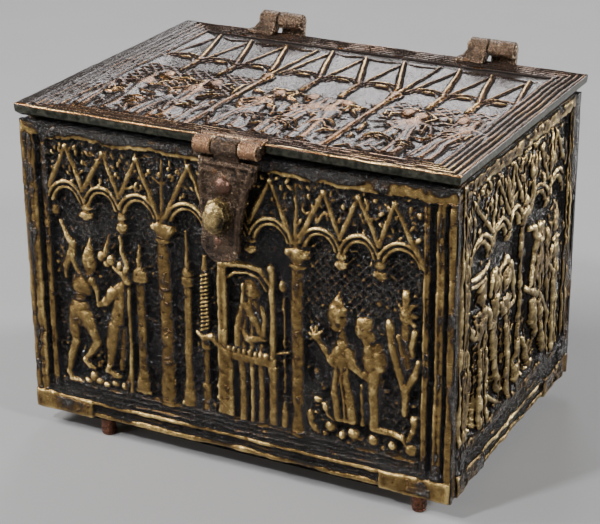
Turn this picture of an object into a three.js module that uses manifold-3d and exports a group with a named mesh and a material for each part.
// A small cast brass reliquary casket: four relief plaques brazed round a floor plate, a hinged relief lid,
// a hasp that hangs from the lid's front edge, and four copper peg feet.
// Units are millimetres, +X to the casket's right, +Y to its back, +Z up. The origin is under the middle of
// the whole object, on the surface that it stands on.
import * as THREE from "three";
import { mergeVertices } from "three/addons/utils/BufferGeometryUtils.js";
import Module from "manifold-3d";

const wasm = await Module();
wasm.setup();

// Driving dimensions of the box
const boxWidth = 112;
const boxDepth = 78.5;
const wallHeight = 75.5;
const wallThickness = 4.0;
const reliefDepth = 2.4;
const floorThickness = 2.5;
const footRadius = 1.9;
const footLength = 4.5;
const footInset = 3.0;
const leftFootX = 19.3;
const rightFootInset = 8.7;
const rightFootX = boxWidth - rightFootInset;

// Lid
const lidThickness = 3.0;
const lidReliefDepth = 1.0;
const lidGap = 1.0;
const lidSideOverhang = 0.6;
const lidFrontOverhang = 0.3;
const lidBackOverhang = 1.7;
const lidEdgeUndercut = 0.9;

// Back hinges
const knuckleRadius = 2.15;
const pinRadius = 1.0;
const boreClearance = 0.16;
const knuckleGap = 0.35;
const pinHeadRadius = 1.55;
const pinHeadThickness = 0.5;
const hingeAxisBehindLid = 0.8;
const hingeAxisAboveLid = 3.1;
const leftHingeStart = 22.3;
const rightHingeStart = 81.4;
const lidKnuckleLength = 4.9;
const boxKnuckleLength = 6.6;
const strapThickness = 1.5;
const strapClearance = 0.4;
const strapLength = 13;
const strapWidthAtFoot = 9.5;
const webFootDepth = 3.4;
const webFootSpread = 2.6;
const webFootThickness = 0.9;

// Hasp on the lid's front edge
const haspCentreX = 57.5;
const haspKnuckleRadius = 2.1;
const haspMiddleKnuckle = 6.4;
const haspSideKnuckle = 4.4;
const haspAxisForward = 1.6;
const haspAxisBelowLidTop = 1.7;
const haspThickness = 1.5;
const haspStandOff = 0.6;
const haspLength = 28.2;
const haspShoulderWidth = 15.6;
const haspShoulderHeight = 6.2;
const haspWaistWidth = 10.6;
const haspToeWidth = 4.6;
const haspToeHeight = 4.2;
const haspLean = 2.4;
const knobRadius = 3.3;
const knobTallness = 1.38; // the knob is an oval, this much taller than it is wide
const knobHeight = 4.4;
const knobDrop = 16.2;
const rivetRadius = 1.75;
const rivetHeight = 1.1;
const rivetDrop = 9.2;
const lowerRivetRadius = 1.05;
const lowerRivetDrop = 22.6;
const hingeLeafDepth = 2.6;
const leafFit = 0.3;

const sink = 0.3; // how far a relief form is buried in the ground that carries it
const limbBurial = 0.15; // how far the middle of a limb lies under its ground

const metals = {
  brass: { color: 0x8a6f3a, roughness: 0.42, metalness: 0.9 },
  bronze: { color: 0x6b564a, roughness: 0.5, metalness: 0.85 },
  copper: { color: 0x7a4a38, roughness: 0.45, metalness: 0.9 },
};
const metal = (name) => new THREE.MeshStandardMaterial(metals[name]);

// Joining and cutting solids
function solidOf(geometry) {
  const bare = geometry.clone();
  for (const name of Object.keys(bare.attributes)) {
    if (name !== "position") bare.deleteAttribute(name);
  }
  const merged = mergeVertices(bare, 1e-4);
  return new wasm.Manifold(
    new wasm.Mesh({
      numProp: 3,
      vertProperties: merged.attributes.position.array,
      triVerts: new Uint32Array(merged.index.array),
    }),
  );
}

function geometryOf(solid) {
  const mesh = solid.getMesh();
  const geometry = new THREE.BufferGeometry();
  geometry.setAttribute(
    "position",
    new THREE.BufferAttribute(new Float32Array(mesh.vertProperties), 3),
  );
  geometry.setIndex(new THREE.BufferAttribute(new Uint32Array(mesh.triVerts), 1));
  return geometry;
}

function join(geometries, cuts = [], tidyStep = 0.05) {
  let solid = wasm.Manifold.union(geometries.map(solidOf));
  for (const cut of cuts) solid = solid.subtract(solidOf(cut));
  return geometryOf(solid.simplify(tidyStep));
}

// Simple shapes, each given where it lies
function block([x0, y0, z0], [x1, y1, z1]) {
  const box = new THREE.BoxGeometry(x1 - x0, y1 - y0, z1 - z0);
  return box.translate((x0 + x1) / 2, (y0 + y1) / 2, (z0 + z1) / 2);
}

// A flat outline in u and v, raised from w = low to w = high
function raised(points, low, high) {
  const outline = new THREE.Shape(points.map(([u, v]) => new THREE.Vector2(u, v)));
  const solid = new THREE.ExtrudeGeometry(outline, {
    depth: high - low,
    bevelEnabled: false,
  });
  return solid.translate(0, 0, low);
}

// A round bar with its axis along X
function barAlongX(radius, x0, x1, y, z, sides = 14) {
  const bar = new THREE.CylinderGeometry(radius, radius, x1 - x0, sides);
  return bar.rotateZ(Math.PI / 2).translate((x0 + x1) / 2, y, z);
}

// Relief forms. A plaque lies in u (along), v (up) and w (out of its face), with w = 0 at its frame.
// A limb is a tapered bar between two points of the relief, half buried, that rises so far out of its ground.
function limb([ua, va], [ub, vb], ra, rb, rise, ground, sides = 4) {
  const length = Math.hypot(ub - ua, vb - va);
  const bar = new THREE.CylinderGeometry(rb, ra, length, sides, 1);
  bar.scale(1, 1, rise / Math.max(ra, rb));
  bar.rotateZ(Math.atan2(vb - va, ub - ua) - Math.PI / 2);
  return bar.translate((ua + ub) / 2, (va + vb) / 2, ground - limbBurial);
}

function lump([u, v], ru, rv, rw, w, across = 5, rings = 3) {
  return new THREE.SphereGeometry(1, across, rings).scale(ru, rv, rw).translate(u, v, w);
}

// Poses are shares of a figure's own height, from a point between its feet
const poses = {
  striding: {
    head: [0.09, 0.86],
    headSize: [0.055, 0.085],
    hood: [0.1, 1.0],
    chest: [0.03, 0.68],
    chestSize: [0.072, 0.1],
    hips: [0, 0.53],
    limbs: [
      { path: [[0.01, 0.53], [0.115, 0.31], [0.02, 0.16], [0.075, 0.1]], radius: 0.051 },
      { path: [[-0.01, 0.53], [-0.06, 0.3], [-0.09, 0.07], [0.0, 0.01]], radius: 0.049 },
      { path: [[-0.01, 0.76], [-0.06, 0.82], [-0.035, 0.94], [-0.11, 1.08]], radius: 0.032 },
      { path: [[0.08, 0.76], [0.13, 0.63], [0.145, 0.56]], radius: 0.029 },
    ],
  },
  bound: {
    head: [-0.01, 0.83],
    headSize: [0.055, 0.065],
    hood: [-0.005, 1.0],
    chest: [0.07, 0.62],
    chestSize: [0.062, 0.1],
    hips: [0.06, 0.47],
    limbs: [
      { path: [[0.06, 0.46], [0.02, 0.26], [-0.035, 0.07], [0.03, 0.01]], radius: 0.051 },
      { path: [[0.09, 0.44], [0.075, 0.22], [0.05, 0.05]], radius: 0.043 },
      { path: [[0.1, 0.72], [0.01, 0.6], [-0.08, 0.52]], radius: 0.034 },
      { path: [[0.06, 0.78], [0.12, 0.8], [0.12, 0.98]], radius: 0.029 },
    ],
  },
  beckoning: {
    head: [-0.035, 0.85],
    headSize: [0.056, 0.085],
    hood: [-0.028, 1.0],
    chest: [0, 0.63],
    chestSize: [0.07, 0.09],
    hips: [0.005, 0.5],
    robe: { hem: [0.02, 0.08], halfWidth: 0.085 },
    limbs: [
      { path: [[-0.045, 0.67], [-0.1, 0.53], [-0.19, 0.69]], radius: 0.032 },
      { path: [[0.045, 0.65], [0.09, 0.53], [0.19, 0.44]], radius: 0.032 },
    ],
  },
  bowed: {
    head: [-0.07, 0.87],
    headSize: [0.065, 0.09],
    chest: [-0.01, 0.66],
    chestSize: [0.078, 0.12],
    hips: [0.01, 0.5],
    robe: { hem: [0.01, 0.03], halfWidth: 0.075 },
    limbs: [
      { path: [[-0.05, 0.7], [-0.05, 0.52], [-0.16, 0.62]], radius: 0.037 },
      { path: [[0.04, 0.06], [0.15, 0.02], [0.24, 0.0]], radius: 0.037 },
    ],
  },
  playing: {
    head: [0, 0.78],
    headSize: [0.055, 0.08],
    hood: [0.005, 1.0],
    chest: [0.01, 0.58],
    chestSize: [0.05, 0.09],
    hips: [0.01, 0.42],
    robe: { hem: [0.005, 0.06], halfWidth: 0.045 },
    limbs: [
      { path: [[-0.11, 0.7], [-0.05, 0.46], [0.0, 0.26]], radius: 0.039 },
      { path: [[0.1, 0.45], [0.05, 0.36], [0.0, 0.26]], radius: 0.034 },
    ],
  },
  standing: {
    head: [0, 0.9],
    headSize: [0.06, 0.08],
    chest: [0, 0.68],
    chestSize: [0.08, 0.12],
    hips: [0, 0.5],
    robe: { hem: [0, 0.02], halfWidth: 0.085 },
    limbs: [
      { path: [[-0.06, 0.74], [-0.09, 0.58], [0.02, 0.62]], radius: 0.037 },
      { path: [[0.06, 0.74], [0.09, 0.56], [0.0, 0.55]], radius: 0.037 },
    ],
  },
  kneeling: {
    head: [-0.05, 0.84],
    headSize: [0.1, 0.12],
    chest: [0.02, 0.55],
    chestSize: [0.12, 0.17],
    hips: [0.12, 0.3],
    robe: { hem: [0.16, 0.04], halfWidth: 0.2 },
    limbs: [
      { path: [[-0.02, 0.62], [-0.12, 0.5], [-0.24, 0.62]], radius: 0.055 },
      { path: [[0.1, 0.26], [-0.1, 0.2], [-0.08, 0.02]], radius: 0.073 },
    ],
  },
};

// A figure in relief: u and v of its feet, its height, its pose, which way it faces, and if its robe is folded
function figure({ u, v, height, pose, mirror = 1, folds = false }, ground, depth) {
  const form = poses[pose];
  const at = ([a, b]) => [u + mirror * a * height, v + b * height];
  const deepest = Math.min(depth, 0.085 * height);
  const parts = [];
  const [headWide, headTall] = form.headSize.map((share) => share * height);
  parts.push(lump(at(form.head), headWide, headTall, deepest, ground, 6, 3));
  if (form.hood) {
    const crown = [form.head[0], form.head[1] + form.headSize[1] * 0.4];
    const hood = limb(at(crown), at(form.hood), headWide * 0.75, headWide * 0.1, deepest * 0.8, ground);
    parts.push(hood);
  }
  const [chestWide, chestTall] = form.chestSize.map((share) => share * height);
  parts.push(lump(at(form.chest), chestWide, chestTall, deepest, ground, 4));
  if (!form.robe) {
    const torso = [chestWide * 0.8, chestWide * 0.75, deepest * 0.85];
    parts.push(limb(at(form.chest), at(form.hips), ...torso, ground));
  }
  if (form.robe) {
    const hemHalf = form.robe.halfWidth;
    const [hemU, hemV] = form.robe.hem;
    const waist = hemHalf * 0.65;
    const skirt = [
      at([form.chest[0] - waist, form.chest[1]]),
      at([hemU - hemHalf, hemV]),
      at([hemU + hemHalf, hemV]),
      at([form.chest[0] + waist, form.chest[1]]),
    ];
    const outline = mirror > 0 ? skirt : skirt.reverse();
    parts.push(raised(outline, ground - sink, ground + deepest * 0.55));
    if (folds) {
      const top = [form.hips[0] + waist * 0.2, form.hips[1]];
      const foot = [hemU + hemHalf * 0.2, hemV + 0.015];
      parts.push(limb(at(top), at(foot), height * 0.022, height * 0.03, deepest * 0.9, ground));
    }
  }
  for (const { path, radius } of form.limbs) {
    const thick = Math.min(radius * height, deepest);
    for (let i = 0; i + 1 < path.length; i++) {
      parts.push(limb(at(path[i]), at(path[i + 1]), thick, thick * 0.85, deepest * 0.8, ground));
    }
  }
  return parts;
}

// A round-headed arch rib between two springing points
function archRib(u0, u1, springV, rise, band, low, high, steps) {
  const outer = [];
  const inner = [];
  const middle = (u0 + u1) / 2;
  const half = (u1 - u0) / 2;
  for (let i = 0; i <= steps; i++) {
    const angle = Math.PI - (Math.PI * i) / steps;
    outer.push([middle + half * Math.cos(angle), springV + rise * Math.sin(angle)]);
    inner.push([
      middle + (half - band) * Math.cos(angle),
      springV + (rise - band) * Math.sin(angle),
    ]);
  }
  return raised([...inner, ...outer.reverse()], low, high);
}

// A steep gable: a chevron of two straight ribs
function gableRib(u0, u1, footV, apexV, band, low, high) {
  const middle = (u0 + u1) / 2;
  const steep = band * Math.hypot(1, (apexV - footV) / (middle - u0));
  return raised(
    [
      [u0, footV],
      [u0 + band * 0.9, footV],
      [middle, apexV - steep],
      [u1 - band * 0.9, footV],
      [u1, footV],
      [middle, apexV],
    ],
    low,
    high,
  );
}

// A half-round column with a flared base, a bell capital and a thin pinnacle over it
function column({ u, footV, capitalV, capitalHeight, pinnacleV, width }, ground, depth) {
  const half = width / 2;
  const baseHeight = width * 1.35;
  const parts = [
    limb([u, footV], [u, capitalV], half, half, depth, ground, 6),
    raised(
      [
        [u - width * 0.8, footV],
        [u + width * 0.8, footV],
        [u + half * 1.05, footV + baseHeight],
        [u - half * 1.05, footV + baseHeight],
      ],
      ground - sink,
      ground + depth * 0.95,
    ),
    raised(
      [
        [u - half * 1.1, capitalV],
        [u + half * 1.1, capitalV],
        [u + width * 0.98, capitalV + capitalHeight * 0.75],
        [u + width * 0.98, capitalV + capitalHeight],
        [u - width * 0.98, capitalV + capitalHeight],
        [u - width * 0.98, capitalV + capitalHeight * 0.75],
      ],
      ground - sink,
      ground + depth,
    ),
    limb(
      [u, capitalV + capitalHeight - sink],
      [u, pinnacleV],
      half * 0.62,
      half * 0.2,
      depth * 0.7,
      ground,
    ),
  ];
  return parts;
}

// The arcade of a plaque: columns between the bays, and arches, gables and pendants in each
function arcade(face, ground, depth) {
  const { from, to, bays, arches, columnWidth } = face;
  const bayWidth = (to - from - (bays - 1) * columnWidth) / bays;
  const archWidth = bayWidth / arches;
  const parts = [];
  for (let bay = 0; bay < bays; bay++) {
    const start = from + bay * (bayWidth + columnWidth);
    for (let i = 0; i < arches; i++) {
      const u0 = start + i * archWidth;
      const u1 = u0 + archWidth;
      const inset = archWidth * 0.03;
      parts.push(
        archRib(
          u0 + inset,
          u1 - inset,
          face.springV,
          face.archRise,
          face.ribWidth,
          ground - sink,
          ground + depth * 0.8,
          face.archSteps,
        ),
      );
      parts.push(
        gableRib(
          u0 + inset,
          u1 - inset,
          face.springV + face.archRise * 0.35,
          face.apexV,
          face.ribWidth * 0.75,
          ground - sink,
          ground + depth * 0.8,
        ),
      );
      if (i > 0) {
        const drop = face.pendantDrop;
        parts.push(
          limb(
            [u0, face.springV - drop],
            [u0, face.springV + sink * 2],
            drop * 0.3,
            drop * 0.42,
            depth * 0.7,
            ground,
          ),
        );
      }
    }
    if (bay > 0) {
      parts.push(
        ...column({ ...face, u: start - columnWidth / 2, width: columnWidth }, ground, depth),
      );
    }
  }
  return parts;
}

// Straight upright rods, such as the posts and colonnettes of a scene
function post({ u, footV, topV, width, spireV = 0 }, ground, depth) {
  const half = width / 2;
  const rise = depth * 0.75;
  const parts = [limb([u, footV], [u, topV], half, half, rise, ground)];
  if (spireV > 0) {
    parts.push(lump([u, topV], width * 0.78, width * 0.95, depth * 0.9, ground));
    parts.push(limb([u, topV], [u, spireV], width * 0.36, width * 0.06, rise * 0.9, ground));
    const flare = width * 0.95;
    const baseTop = footV + width * 2.1;
    parts.push(limb([u, footV], [u, baseTop], flare, half, depth * 0.9, ground));
  }
  return parts;
}

// A plaque: a slab with a raised frame, a stepped foot moulding between two corner blocks, and its relief
function plaque({ length, height, thickness, depth, frame, face, figures, posts, extras = [] }) {
  const ground = -depth;
  const { left, right, top, foot, strips } = frame;
  const footTop = foot[foot.length - 1][1];
  const parts = [
    block([0, 0, -thickness], [length, height, ground]),
    block([0, height - top, ground - sink], [length, height, 0]),
  ];
  for (const [start, end] of strips) {
    for (const [u0, u1] of [
      [start * left, end * left],
      [length - end * right, length - start * right],
    ]) {
      const level = start === 0 ? 0 : -depth * 0.12;
      parts.push(block([u0, footTop, ground - sink], [u1, height - top, level]));
    }
  }
  for (const [v0, v1, level] of foot) {
    parts.push(block([0, v0, ground - sink], [length, v1, level]));
  }
  if (frame.blockLength) {
    const proud = frame.blockProud;
    const { blockLength, blockHeight } = frame;
    parts.push(block([0, 0, ground - sink], [blockLength, blockHeight, proud]));
    parts.push(block([length - blockLength, 0, ground - sink], [length, blockHeight, proud]));
  }
  parts.push(...arcade(face, ground, depth));
  for (const rod of posts) parts.push(...post(rod, ground, depth));
  for (const person of figures) parts.push(...figure(person, ground, depth * 0.95));
  parts.push(...extras);
  return parts;
}

// What would stand out of a plaque's inner side is cut off flush
function insideTrim(length) {
  const far = 9;
  return block([-1, -1, -wallThickness - far], [length + 1, wallHeight + 1, -wallThickness]);
}

// Where each plaque's u, v and w point in the casket's own axes. Every entry is 0, 1 or -1.
function stand(geometry, along, up, out, origin) {
  const turn = new THREE.Matrix4().makeBasis(
    new THREE.Vector3(...along),
    new THREE.Vector3(...up),
    new THREE.Vector3(...out),
  );
  turn.setPosition(...origin);
  return geometry.applyMatrix4(turn);
}

const group = new THREE.Group();
function add(name, geometry, metalName) {
  const mesh = new THREE.Mesh(geometry, metal(metalName));
  mesh.name = name;
  group.add(mesh);
  return mesh;
}

// The upright plaques share their levels, so that the arcades line up round the casket
const wallFrame = {
  left: 7.0,
  right: 7.0,
  top: 3.2,
  strips: [[0, 0.3], [0.42, 0.66], [0.84, 1]],
  foot: [[0, 2.2, -0.3], [2.8, 4.6, -0.5], [5.2, 6.6, -0.9], [7.2, 9.4, -1.3]],
  blockLength: 17,
  blockHeight: 5.2,
  blockProud: 0.5,
};
const columnWidth = 3.0;
const wallLevels = {
  footV: 8.4,
  capitalV: 51.5,
  capitalHeight: 4.6,
  pinnacleV: 70,
  springV: 56.6,
  archRise: 5.2,
  apexV: 70.6,
  ribWidth: 1.25,
  pendantDrop: 4.4,
  columnWidth,
  archSteps: 3,
};
const sceneFootV = 10; // the level that the scenes stand on
const bigFigure = 38;

function wallFace(length, bays) {
  const { left, right } = wallFrame;
  return { ...wallLevels, from: left, to: length - right, bays, arches: 3 };
}

// Places across one bay of a face, as a share of the bay's width
function bayPlace(face, bay, share) {
  const { from, to, bays } = face;
  const bayWidth = (to - from - (bays - 1) * face.columnWidth) / bays;
  return from + bay * (bayWidth + face.columnWidth) + share * bayWidth;
}

const frontFace = { ...wallFace(boxWidth, 3), archSteps: 4 };
const backFace = wallFace(boxWidth, 3);
const inFront = (bay, share) => bayPlace(frontFace, bay, share);
const frontFigures = [
  { u: inFront(0, 0.25), v: sceneFootV, height: bigFigure * 1.03, pose: "striding" },
  { u: inFront(0, 0.53), v: sceneFootV + 2.9, height: bigFigure * 0.97, pose: "bound" },
  { u: inFront(2, 0.33), v: sceneFootV + 2, height: bigFigure * 0.93, pose: "beckoning" },
  { u: inFront(2, 0.6), v: sceneFootV + 4, height: bigFigure * 0.75, pose: "bowed" },
  { u: inFront(2, 0.84), v: sceneFootV + 7.9, height: bigFigure * 0.84, pose: "playing" },
  { u: inFront(1, 0.7), v: sceneFootV + 16, height: bigFigure * 0.56, pose: "standing" },
].map((person) => ({ ...person, folds: true }));
const frontPosts = [
  { u: inFront(0, 0.71), footV: sceneFootV, topV: 43, width: 1.2 },
  { u: inFront(0, 0.82), footV: sceneFootV, topV: 41.5, width: 2.5, spireV: 49.5 },
  { u: inFront(1, 0.15), footV: sceneFootV, topV: 43.5, width: 2.3, spireV: 54 },
  { u: inFront(1, 0.28), footV: sceneFootV, topV: 46.5, width: 1.7 },
  { u: inFront(1, 0.46), footV: sceneFootV, topV: 49, width: 2.2 },
  { u: inFront(1, 0.88), footV: sceneFootV, topV: 47, width: 1.5 },
  { u: inFront(1, 0.97), footV: sceneFootV, topV: 16, width: 1.4 },
];

// The doorway of the middle bay: an arched head, a parapet across it and pillars under the parapet
function doorway() {
  const ground = -reliefDepth;
  const leftJamb = inFront(1, 0.42);
  const rightJamb = inFront(1, 0.9);
  const parapetV = 26.5;
  const parts = [
    archRib(
      leftJamb,
      rightJamb,
      45.6,
      3.4,
      1.1,
      ground - sink,
      ground + reliefDepth * 0.75,
      frontFace.archSteps,
    ),
    block(
      [leftJamb, parapetV - 1.1, ground - sink],
      [rightJamb, parapetV + 1.1, ground + reliefDepth * 0.9],
    ),
    limb(
      [inFront(1, 0.26), parapetV + 3.6],
      [leftJamb + 0.5, parapetV],
      1.1,
      1.1,
      reliefDepth * 0.8,
      ground,
    ),
  ];
  for (const share of [0.58, 0.68, 0.76]) {
    parts.push(
      ...post(
        { u: inFront(1, share), footV: sceneFootV, topV: parapetV, width: 1.4 },
        ground,
        reliefDepth,
      ),
    );
  }
  return parts;
}

const frontParts = plaque({
  length: boxWidth,
  height: wallHeight,
  thickness: wallThickness,
  depth: reliefDepth,
  frame: wallFrame,
  face: frontFace,
  figures: frontFigures,
  posts: frontPosts,
  extras: doorway(),
});
add(
  "front_plaque",
  stand(
    join(frontParts, [insideTrim(boxWidth)]),
    [1, 0, 0],
    [0, 0, 1],
    [0, -1, 0],
    [0, 0, -wallHeight],
  ),
  "brass",
);

// The back plaque repeats the arcade with fewer, plainer figures
const backFigures = [0, 1, 2].map((bay) => ({
  u: inFront(bay, 0.5),
  v: sceneFootV,
  height: bigFigure * 0.95,
  pose: ["standing", "beckoning", "standing"][bay],
}));
const backParts = plaque({
  length: boxWidth,
  height: wallHeight,
  thickness: wallThickness,
  depth: reliefDepth,
  frame: wallFrame,
  face: backFace,
  figures: backFigures,
  posts: [],
});
add(
  "back_plaque",
  stand(
    join(backParts, [insideTrim(boxWidth)]),
    [-1, 0, 0],
    [0, 0, 1],
    [0, 1, 0],
    [boxWidth, boxDepth, -wallHeight],
  ),
  "brass",
);

// The side plaques stand between the front and the back one
const sideLength = boxDepth - 2 * wallThickness;
const sideFrame = {
  ...wallFrame,
  left: 2.6,
  right: 2.6,
  strips: [[0, 0.4], [0.62, 1]],
  blockLength: 12.5,
};
const sideFace = {
  ...wallLevels,
  from: sideFrame.left,
  to: sideLength - sideFrame.right,
  bays: 2,
  arches: 3,
};
const sidePoses = ["beckoning", "bowed", "standing", "standing", "bowed", "playing"];
const sideHeights = [0.92, 0.86, 0.98, 1.0, 0.95, 0.98];
const sideShares = [0.25, 0.52, 0.8];
function sideFigures(mirror) {
  return sidePoses.map((pose, i) => ({
    u: bayPlace(sideFace, Math.floor(i / 3), sideShares[i % 3]),
    v: sceneFootV + 1,
    height: bigFigure * sideHeights[i],
    pose,
    mirror,
  }));
}
function sidePlaque(mirror) {
  return join(
    plaque({
      length: sideLength,
      height: wallHeight,
      thickness: wallThickness,
      depth: reliefDepth,
      frame: sideFrame,
      face: sideFace,
      figures: sideFigures(mirror),
      posts: [],
    }),
    [insideTrim(sideLength)],
  );
}
add(
  "right_plaque",
  stand(sidePlaque(1), [0, 1, 0], [0, 0, 1], [1, 0, 0], [boxWidth, wallThickness, -wallHeight]),
  "brass",
);
add(
  "left_plaque",
  stand(
    sidePlaque(-1),
    [0, -1, 0],
    [0, 0, 1],
    [-1, 0, 0],
    [0, boxDepth - wallThickness, -wallHeight],
  ),
  "brass",
);

add(
  "floor_plate",
  block(
    [wallThickness, wallThickness, -wallHeight],
    [boxWidth - wallThickness, boxDepth - wallThickness, -wallHeight + floorThickness],
  ),
  "brass",
);

// Four copper pegs, let into the underside of the front and back plaques
for (const [name, x, y] of [
  ["foot_front_left", leftFootX, footInset],
  ["foot_front_right", rightFootX, footInset],
  ["foot_back_left", leftFootX, boxDepth - footInset],
  ["foot_back_right", rightFootX, boxDepth - footInset],
]) {
  const peg = new THREE.CylinderGeometry(footRadius, footRadius * 0.9, footLength, 12);
  peg.rotateX(Math.PI / 2);
  peg.translate(x, y, -wallHeight - footLength / 2);
  add(name, peg, "copper");
}

// The lid: a plate whose edge is undercut, with ridged borders and a shallow arcade
const lidLeft = -lidSideOverhang;
const lidRight = boxWidth + lidSideOverhang;
const lidFront = -lidFrontOverhang;
const lidBack = boxDepth + lidBackOverhang;
const lidBottom = lidGap;
const lidTop = lidGap + lidThickness;
const lidLength = lidRight - lidLeft;
const lidDepth = lidBack - lidFront;

const lidFrame = { left: 8.6, right: 6.4, front: 5.4, back: 5.6, ridges: 3 };
const lidFace = {
  from: lidFrame.left,
  to: lidLength - lidFrame.right,
  bays: 3,
  arches: 3,
  columnWidth: 2.3,
  footV: lidFrame.front,
  capitalV: 42,
  capitalHeight: 4,
  pinnacleV: 68,
  springV: 46.8,
  archRise: 4.6,
  apexV: 70,
  ribWidth: 1.2,
  pendantDrop: 6.5,
  archSteps: 3,
};
const lidPoses = [
  ["kneeling", 0.3, 14, 24],
  ["standing", 0.68, 7, 30],
  ["standing", 0.34, 8, 27],
  ["bowed", 0.78, 8, 30],
  ["standing", 0.36, 8, 29],
  ["beckoning", 0.78, 8, 30],
];
const lidBays = [0, 0, 1, 1, 2, 2];

function lidPlate() {
  const plate = block([0, 0, -lidThickness], [lidLength, lidDepth, -lidReliefDepth]);
  const corner = plate.attributes.position;
  for (let i = 0; i < corner.count; i++) {
    if (corner.getZ(i) > -lidThickness + sink) continue;
    const inward = (value, full) => (value > full / 2 ? full - lidEdgeUndercut : lidEdgeUndercut);
    corner.setX(i, inward(corner.getX(i), lidLength));
    corner.setY(i, inward(corner.getY(i), lidDepth));
  }
  return plate;
}

// Ridges that run round the lid: each is a flat rectangular ring
function ringRidge(share, width, level) {
  const l = lidFrame.left * share;
  const r = lidLength - lidFrame.right * share;
  const f = lidFrame.front * share;
  const b = lidDepth - lidFrame.back * share;
  const low = -lidReliefDepth - sink;
  return [
    block([l, f, low], [r, f + width, level]),
    block([l, b - width, low], [r, b, level]),
    block([l, f, low], [l + width, b, level]),
    block([r - width, f, low], [r, b, level]),
  ];
}

function lidSolid() {
  const ground = -lidReliefDepth;
  const parts = [lidPlate()];
  for (let i = 0; i < lidFrame.ridges; i++) {
    parts.push(...ringRidge((i * 1.05) / lidFrame.ridges, 1.1, -0.08 * i));
  }
  parts.push(...arcade(lidFace, ground, lidReliefDepth * 0.95));
  lidPoses.forEach(([pose, share, v, height], i) => {
    const person = { u: bayPlace(lidFace, lidBays[i], share), v, height, pose };
    parts.push(...figure(person, ground, lidReliefDepth * 0.9));
  });
  const notchHalf = haspBarrel / 2 + pinHeadThickness + leafFit;
  const notch = block(
    [haspCentreX - notchHalf - lidLeft, -1, -lidThickness - 1],
    [haspCentreX + notchHalf - lidLeft, hingeLeafDepth + lidFrontOverhang + leafFit, 1],
  );
  return join(parts, [notch]);
}

const haspBarrel = haspMiddleKnuckle + 2 * (haspSideKnuckle + knuckleGap);
add(
  "lid",
  stand(lidSolid(), [1, 0, 0], [0, 1, 0], [0, 0, 1], [lidLeft, lidFront, lidTop]),
  "bronze",
);

// Back hinges: a lid knuckle on a web, a box knuckle on a strap, and a pin with peened heads
const hingeY = lidBack + hingeAxisBehindLid;
const hingeZ = lidTop + hingeAxisAboveLid;
const boreRadius = pinRadius + boreClearance;
const boreSides = 10;

// A profile in y and z, carried along X
function alongX(points, x0, x1) {
  const solid = raised(points, 0, x1 - x0);
  return stand(solid, [0, 1, 0], [0, 0, 1], [1, 0, 0], [x0, 0, 0]);
}

function hinge(side, start) {
  const lidEnd = start + lidKnuckleLength;
  const boxStart = lidEnd + knuckleGap;
  const boxEnd = boxStart + boxKnuckleLength;
  const bore = barAlongX(boreRadius, start - 1, boxEnd + 1, hingeY, hingeZ, boreSides);
  const footTop = lidTop + webFootThickness;
  const web = alongX(
    [
      [lidBack - webFootDepth, footTop - sink],
      [lidBack, lidTop],
      [hingeY - strapClearance, lidTop + 0.2],
      [hingeY + knuckleRadius * 0.6, hingeZ - knuckleRadius * 0.75],
      [hingeY - knuckleRadius * 0.95, hingeZ + 0.2],
    ],
    start,
    lidEnd,
  );
  const flange = block(
    [start - webFootSpread, lidBack - webFootDepth, lidTop],
    [lidEnd, lidBack, footTop],
  );
  const lidKnuckle = barAlongX(knuckleRadius, start, lidEnd, hingeY, hingeZ);
  add(`hinge_lid_leaf_${side}`, join([lidKnuckle, web, flange], [bore]), "bronze");

  const strapInner = lidBack + strapClearance;
  const strap = alongX(
    [
      [boxDepth, -strapLength],
      [boxDepth + strapThickness, -strapLength],
      [boxDepth + strapThickness, -strapThickness],
      [strapInner + strapThickness, 0],
      [hingeY + knuckleRadius * 0.98, hingeZ],
      [hingeY + knuckleRadius * 0.3, hingeZ + 0.2],
      [strapInner, hingeZ - knuckleRadius],
      [strapInner, lidBottom - 0.4],
      [boxDepth, lidBottom - 0.4],
    ],
    boxStart,
    boxEnd,
  );
  const strapFoot = block(
    [(boxStart + boxEnd - strapWidthAtFoot) / 2, boxDepth, -strapLength],
    [(boxStart + boxEnd + strapWidthAtFoot) / 2, boxDepth + strapThickness, -strapLength * 0.35],
  );
  const boxKnuckle = barAlongX(knuckleRadius, boxStart, boxEnd, hingeY, hingeZ);
  add(`hinge_box_leaf_${side}`, join([boxKnuckle, strap, strapFoot], [bore]), "bronze");

  const pin = [
    barAlongX(pinRadius, start - sink, boxEnd + sink, hingeY, hingeZ, boreSides),
    barAlongX(
      pinHeadRadius,
      start - knuckleGap / 2 - pinHeadThickness,
      start - knuckleGap / 2,
      hingeY,
      hingeZ,
      boreSides,
    ),
    barAlongX(pinHeadRadius, boxEnd, boxEnd + pinHeadThickness, hingeY, hingeZ, boreSides),
  ];
  add(`hinge_pin_${side}`, join(pin), "bronze");
}
hinge("left", leftHingeStart);
hinge("right", rightHingeStart);

// The hasp: a leaf with two knuckles let into the lid's front edge, the hasp plate on the middle knuckle,
// a pin, a knob to lift it by and two rivets
const haspY = -haspAxisForward;
const haspZ = lidTop - haspAxisBelowLidTop;
const haspLeft = haspCentreX - haspBarrel / 2;
const haspRight = haspCentreX + haspBarrel / 2;
const haspBore = barAlongX(boreRadius, haspLeft - 1, haspRight + 1, haspY, haspZ, boreSides);
const leafFront = haspY + haspKnuckleRadius + 0.25;

const leafParts = [block([haspLeft, leafFront, lidBottom], [haspRight, hingeLeafDepth, lidTop])];
for (const [x0, x1] of [
  [haspLeft, haspLeft + haspSideKnuckle],
  [haspRight - haspSideKnuckle, haspRight],
]) {
  leafParts.push(barAlongX(haspKnuckleRadius, x0, x1, haspY, haspZ));
  leafParts.push(block([x0, haspY, haspZ - 0.9], [x1, leafFront + sink, haspZ + 0.9]));
}
add("hasp_hinge_leaf", join(leafParts, [haspBore]), "copper");

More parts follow.
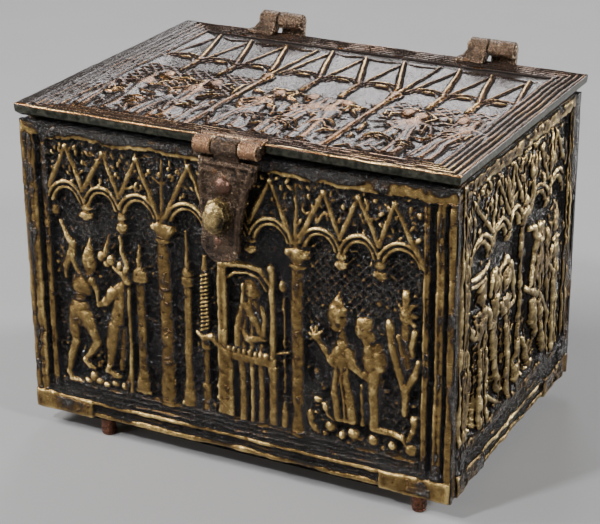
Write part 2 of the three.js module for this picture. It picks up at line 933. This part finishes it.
const haspBackY = -haspStandOff;
const haspFrontY = haspBackY - haspThickness;
function haspOutline() {
  const top = haspZ - haspKnuckleRadius - 0.6;
  const bottom = haspZ - haspLength;
  const half = haspShoulderWidth / 2;
  const waistRight = haspCentreX - half + haspWaistWidth;
  const toe = haspCentreX - haspLean;
  return [
    [haspCentreX - half, top],
    [haspCentreX - half, bottom + haspToeHeight],
    [toe - haspToeWidth / 2, bottom],
    [toe + haspToeWidth / 2, bottom + 0.6],
    [waistRight - 0.4, bottom + haspToeHeight],
    [waistRight, top - haspShoulderHeight * 2],
    [haspCentreX + half - 1.6, top - haspShoulderHeight],
    [haspCentreX + half - 1.1, top - haspShoulderHeight * 0.6],
    [haspCentreX + half, top - 1],
    [haspCentreX + half, top],
  ].reverse();
}
const middleLeft = haspCentreX - haspMiddleKnuckle / 2;
const middleRight = haspCentreX + haspMiddleKnuckle / 2;
const haspPlate = stand(
  raised(haspOutline(), haspStandOff, haspStandOff + haspThickness),
  [1, 0, 0],
  [0, 0, 1],
  [0, -1, 0],
  [0, 0, 0],
);
const haspNeck = block(
  [middleLeft, haspFrontY, haspZ - haspKnuckleRadius - 1],
  [middleRight, haspBackY, haspZ - 0.8],
);
add(
  "hasp",
  join(
    [haspPlate, haspNeck, barAlongX(haspKnuckleRadius, middleLeft, middleRight, haspY, haspZ)],
    [haspBore],
  ),
  "copper",
);
add(
  "hasp_pin",
  join([
    barAlongX(pinRadius, haspLeft - sink, haspRight + sink, haspY, haspZ, boreSides),
    barAlongX(pinHeadRadius, haspLeft - pinHeadThickness, haspLeft, haspY, haspZ, boreSides),
    barAlongX(pinHeadRadius, haspRight, haspRight + pinHeadThickness, haspY, haspZ, boreSides),
  ]),
  "copper",
);

// A stud that stands out of the hasp's face: a profile of radius and height, turned on a lathe
function stud(profile, x, z, sides, tallness = 1) {
  const turned = new THREE.LatheGeometry(
    profile.map(([r, h]) => new THREE.Vector2(r, h)),
    sides,
  );
  return turned.rotateX(Math.PI).scale(1, 1, tallness).translate(x, haspFrontY, z);
}
const knobX = haspCentreX - 1.9;
const knob = stud(
  [
    [0, 0],
    [knobRadius * 0.86, 0],
    [knobRadius * 0.86, knobHeight * 0.25],
    [knobRadius, knobHeight * 0.4],
    [knobRadius * 0.96, knobHeight * 0.72],
    [knobRadius * 0.6, knobHeight * 0.96],
    [0, knobHeight],
  ],
  knobX,
  haspZ - knobDrop,
  9,
  knobTallness,
);
add("hasp_knob", knob, "brass");
const rivetProfile = (radius, height) => [
  [0, 0],
  [radius, 0],
  [radius * 0.92, height * 0.55],
  [radius * 0.5, height * 0.95],
  [0, height],
];
add(
  "hasp_rivet_upper",
  stud(rivetProfile(rivetRadius, rivetHeight), haspCentreX - 0.9, haspZ - rivetDrop, 10),
  "copper",
);
add(
  "hasp_rivet_lower",
  stud(
    rivetProfile(lowerRivetRadius, rivetHeight * 0.7),
    haspCentreX - 2.6,
    haspZ - lowerRivetDrop,
    8,
  ),
  "copper",
);

// The origin: midway between the outermost points left and right and front and back, under the feet
const foremost = haspFrontY - knobHeight;
const rearmost = hingeY + knuckleRadius;
group.position.set(-boxWidth / 2, -(foremost + rearmost) / 2, wallHeight + footLength);

const casket = new THREE.Group();
casket.add(group);
export default casket;
